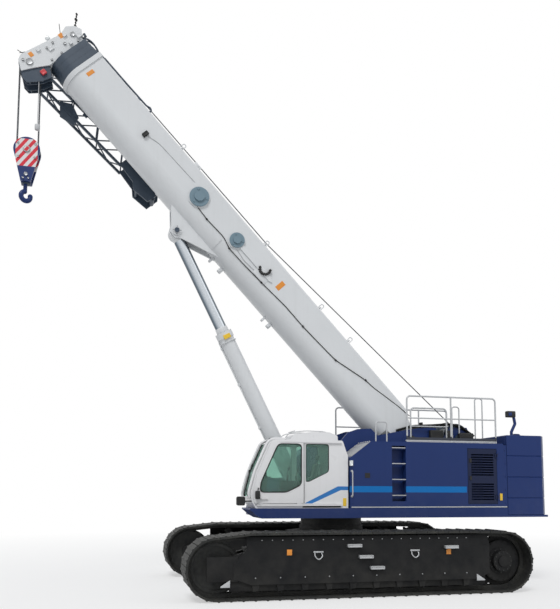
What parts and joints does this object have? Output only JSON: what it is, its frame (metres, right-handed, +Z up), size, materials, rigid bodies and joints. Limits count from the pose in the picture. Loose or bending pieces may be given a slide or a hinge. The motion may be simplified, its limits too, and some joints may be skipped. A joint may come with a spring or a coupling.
{
  "type": "telescopic crawler crane",
  "caption": "Crawler crane with a telescopic boom on a luffing cylinder, stowed lattice jib, hook block, cab, housings and stacked counterweight on wide tracks.",
  "frame": {"origin": "slewing axis on the ground, midway between the tracks", "axes": "+X forward, the way the boom points; +Y to the cab's side; +Z up"},
  "size_m": [13.1912, 5.502, 13.6041],
  "materials": {
    "track_steel": "black painted and worn track shoes",
    "frame_black": "black semi-gloss paint",
    "step_grey": "grey step bars",
    "race_steel": "machined steel",
    "navy_paint": "gloss navy paint",
    "white_paint": "gloss off-white paint",
    "slate_paint": "slate blue-grey paint",
    "engine_iron": "plain block",
    "rope_steel": "greased wire rope",
    "exhaust_steel": "heat-stained steel",
    "chrome_rod": "polished rod",
    "cab_glazing": "green tinted safety glass",
    "seat_fabric": "dark woven seat cover",
    "console_plastic": "dark moulded plastic",
    "mirror_black": "black bracket and mirror"
  },
  "bodies": {
    "crawler_base": {"track_left": "track_steel", "track_right": "track_steel", "final_drive_left": "frame_black", "final_drive_right": "frame_black", "idler_left": "frame_black", "idler_right": "frame_black", "rollers_left": "frame_black", "rollers_right": "frame_black", "track_frame_left": "frame_black", "track_frame_right": "frame_black", "track_steps_left": "step_grey", "track_steps_right": "step_grey", "carbody": "frame_black", "slew_race": "race_steel"},
    "upperworks": {"turntable_race": "race_steel", "turning_frame": "navy_paint", "boom_webs": "navy_paint", "housing_left": "navy_paint", "housing_right": "navy_paint", "step_pockets": "step_grey", "fuel_tank": "navy_paint", "engine_block": "engine_iron", "counterweight_base": "navy_paint", "counterweight_slabs": "navy_paint", "rear_post": "navy_paint", "winch_frame": "navy_paint", "handrail_left": "white_paint", "handrail_right": "white_paint", "exhaust_stack": "exhaust_steel", "cab_shell": "white_paint", "cab_glass": "cab_glazing", "operator_seat": "seat_fabric", "cab_consoles": "console_plastic", "mirror_bracket": "mirror_black"},
    "cab_door": {"cab_door": "white_paint", "cab_door_glass": "cab_glazing"},
    "grille_door": {"grille_door": "navy_paint"},
    "winch_upper": {"winch_drum_upper": "rope_steel"},
    "winch_lower": {"winch_drum_lower": "rope_steel"},
    "boom_foot": {"boom_foot_pin": "race_steel"},
    "boom": {"boom_base": "white_paint", "boom_side_fittings": "slate_paint", "jib": "slate_paint"},
    "section_2": {"boom_section_2": "slate_paint"},
    "section_3": {"boom_section_3": "slate_paint"},
    "section_4": {"boom_section_4": "slate_paint"},
    "tip": {"boom_tip": "white_paint", "head_sheaves": "slate_paint", "head_guard": "slate_paint"},
    "hook": {"hoist_falls": "rope_steel", "hook_block": "navy_paint", "hook": "navy_paint"},
    "luff_foot": {"luff_foot_pin": "race_steel"},
    "luff_barrel": {"luff_barrel": "white_paint"},
    "luff_piston": {"luff_piston": "race_steel"},
    "luff_rod": {"luff_rod": "chrome_rod"}
  },
  "joints": [
    {"name": "slew", "type": "hinge", "parent": "crawler_base", "child": "upperworks", "pos_m": [0, 0, 1.45], "axis": [0, 0, 1], "continuous": true},
    {"name": "cab_door_slide", "type": "slide", "parent": "upperworks", "child": "cab_door", "axis": [-1, 0, 0], "range_m": [0, 0.96]},
    {"name": "grille_door_hinge", "type": "hinge", "parent": "upperworks", "child": "grille_door", "pos_m": [-3.854, 1.519, 2.665], "axis": [0, 0, 1], "range_deg": [0, 110]},
    {"name": "winch_upper_turn", "type": "hinge", "parent": "upperworks", "child": "winch_upper", "pos_m": [-3.35, 0, 3.7], "axis": [0, 1, 0], "continuous": true},
    {"name": "winch_lower_turn", "type": "hinge", "parent": "upperworks", "child": "winch_lower", "pos_m": [-3.68, 0, 2.76], "axis": [0, 1, 0], "continuous": true},
    {"name": "boom_lower", "type": "hinge", "parent": "upperworks", "child": "boom_foot", "pos_m": [-2, 0, 3.6], "axis": [0, -1, 0], "range_deg": [-47, 0]},
    {"name": "boom_raise", "type": "hinge", "parent": "boom_foot", "child": "boom", "pos_m": [-2, 0, 3.6], "axis": [0, -1, 0], "range_deg": [0, 33]},
    {"name": "telescope_2", "type": "slide", "parent": "boom", "child": "section_2", "axis": [0.682, 0, 0.7314], "range_m": [0, 9]},
    {"name": "telescope_3", "type": "slide", "parent": "section_2", "child": "section_3", "axis": [0.682, 0, 0.7314], "range_m": [0, 9]},
    {"name": "telescope_4", "type": "slide", "parent": "section_3", "child": "section_4", "axis": [0.682, 0, 0.7314], "range_m": [0, 9]},
    {"name": "telescope_5", "type": "slide", "parent": "section_4", "child": "tip", "axis": [0.682, 0, 0.7314], "range_m": [0, 9]},
    {"name": "hook_swing", "type": "hinge", "parent": "tip", "child": "hook", "pos_m": [7.63628, 0, 12.52601], "axis": [0, 1, 0], "range_deg": [-47, 33]},
    {"name": "luff_barrel_lower", "type": "hinge", "parent": "upperworks", "child": "luff_foot", "pos_m": [0.74, 0, 2.07], "axis": [0, -1, 0], "range_deg": [-56.97, 0.05]},
    {"name": "luff_barrel_raise", "type": "hinge", "parent": "luff_foot", "child": "luff_barrel", "pos_m": [0.74, 0, 2.07], "axis": [0, -1, 0], "range_deg": [-0.05, 29.32]},
    {"name": "luff_rod_lower", "type": "slide", "parent": "luff_barrel", "child": "luff_piston", "axis": [0.4457, 0, 0.8952], "range_m": [-2.26361, 0.001]},
    {"name": "luff_rod_raise", "type": "slide", "parent": "luff_piston", "child": "luff_rod", "axis": [0.4457, 0, 0.8952], "range_m": [-0.001, 1.70311]}
  ],
  "couplings": [
    {"joint": "luff_barrel_lower", "follows": "boom_lower", "ratio": 1.2116},
    {"joint": "luff_barrel_raise", "follows": "boom_raise", "ratio": 0.88812},
    {"joint": "luff_rod_lower", "follows": "boom_lower", "m_per_rad": 2.7581},
    {"joint": "luff_rod_raise", "follows": "boom_raise", "m_per_rad": 2.9555}
  ]
}
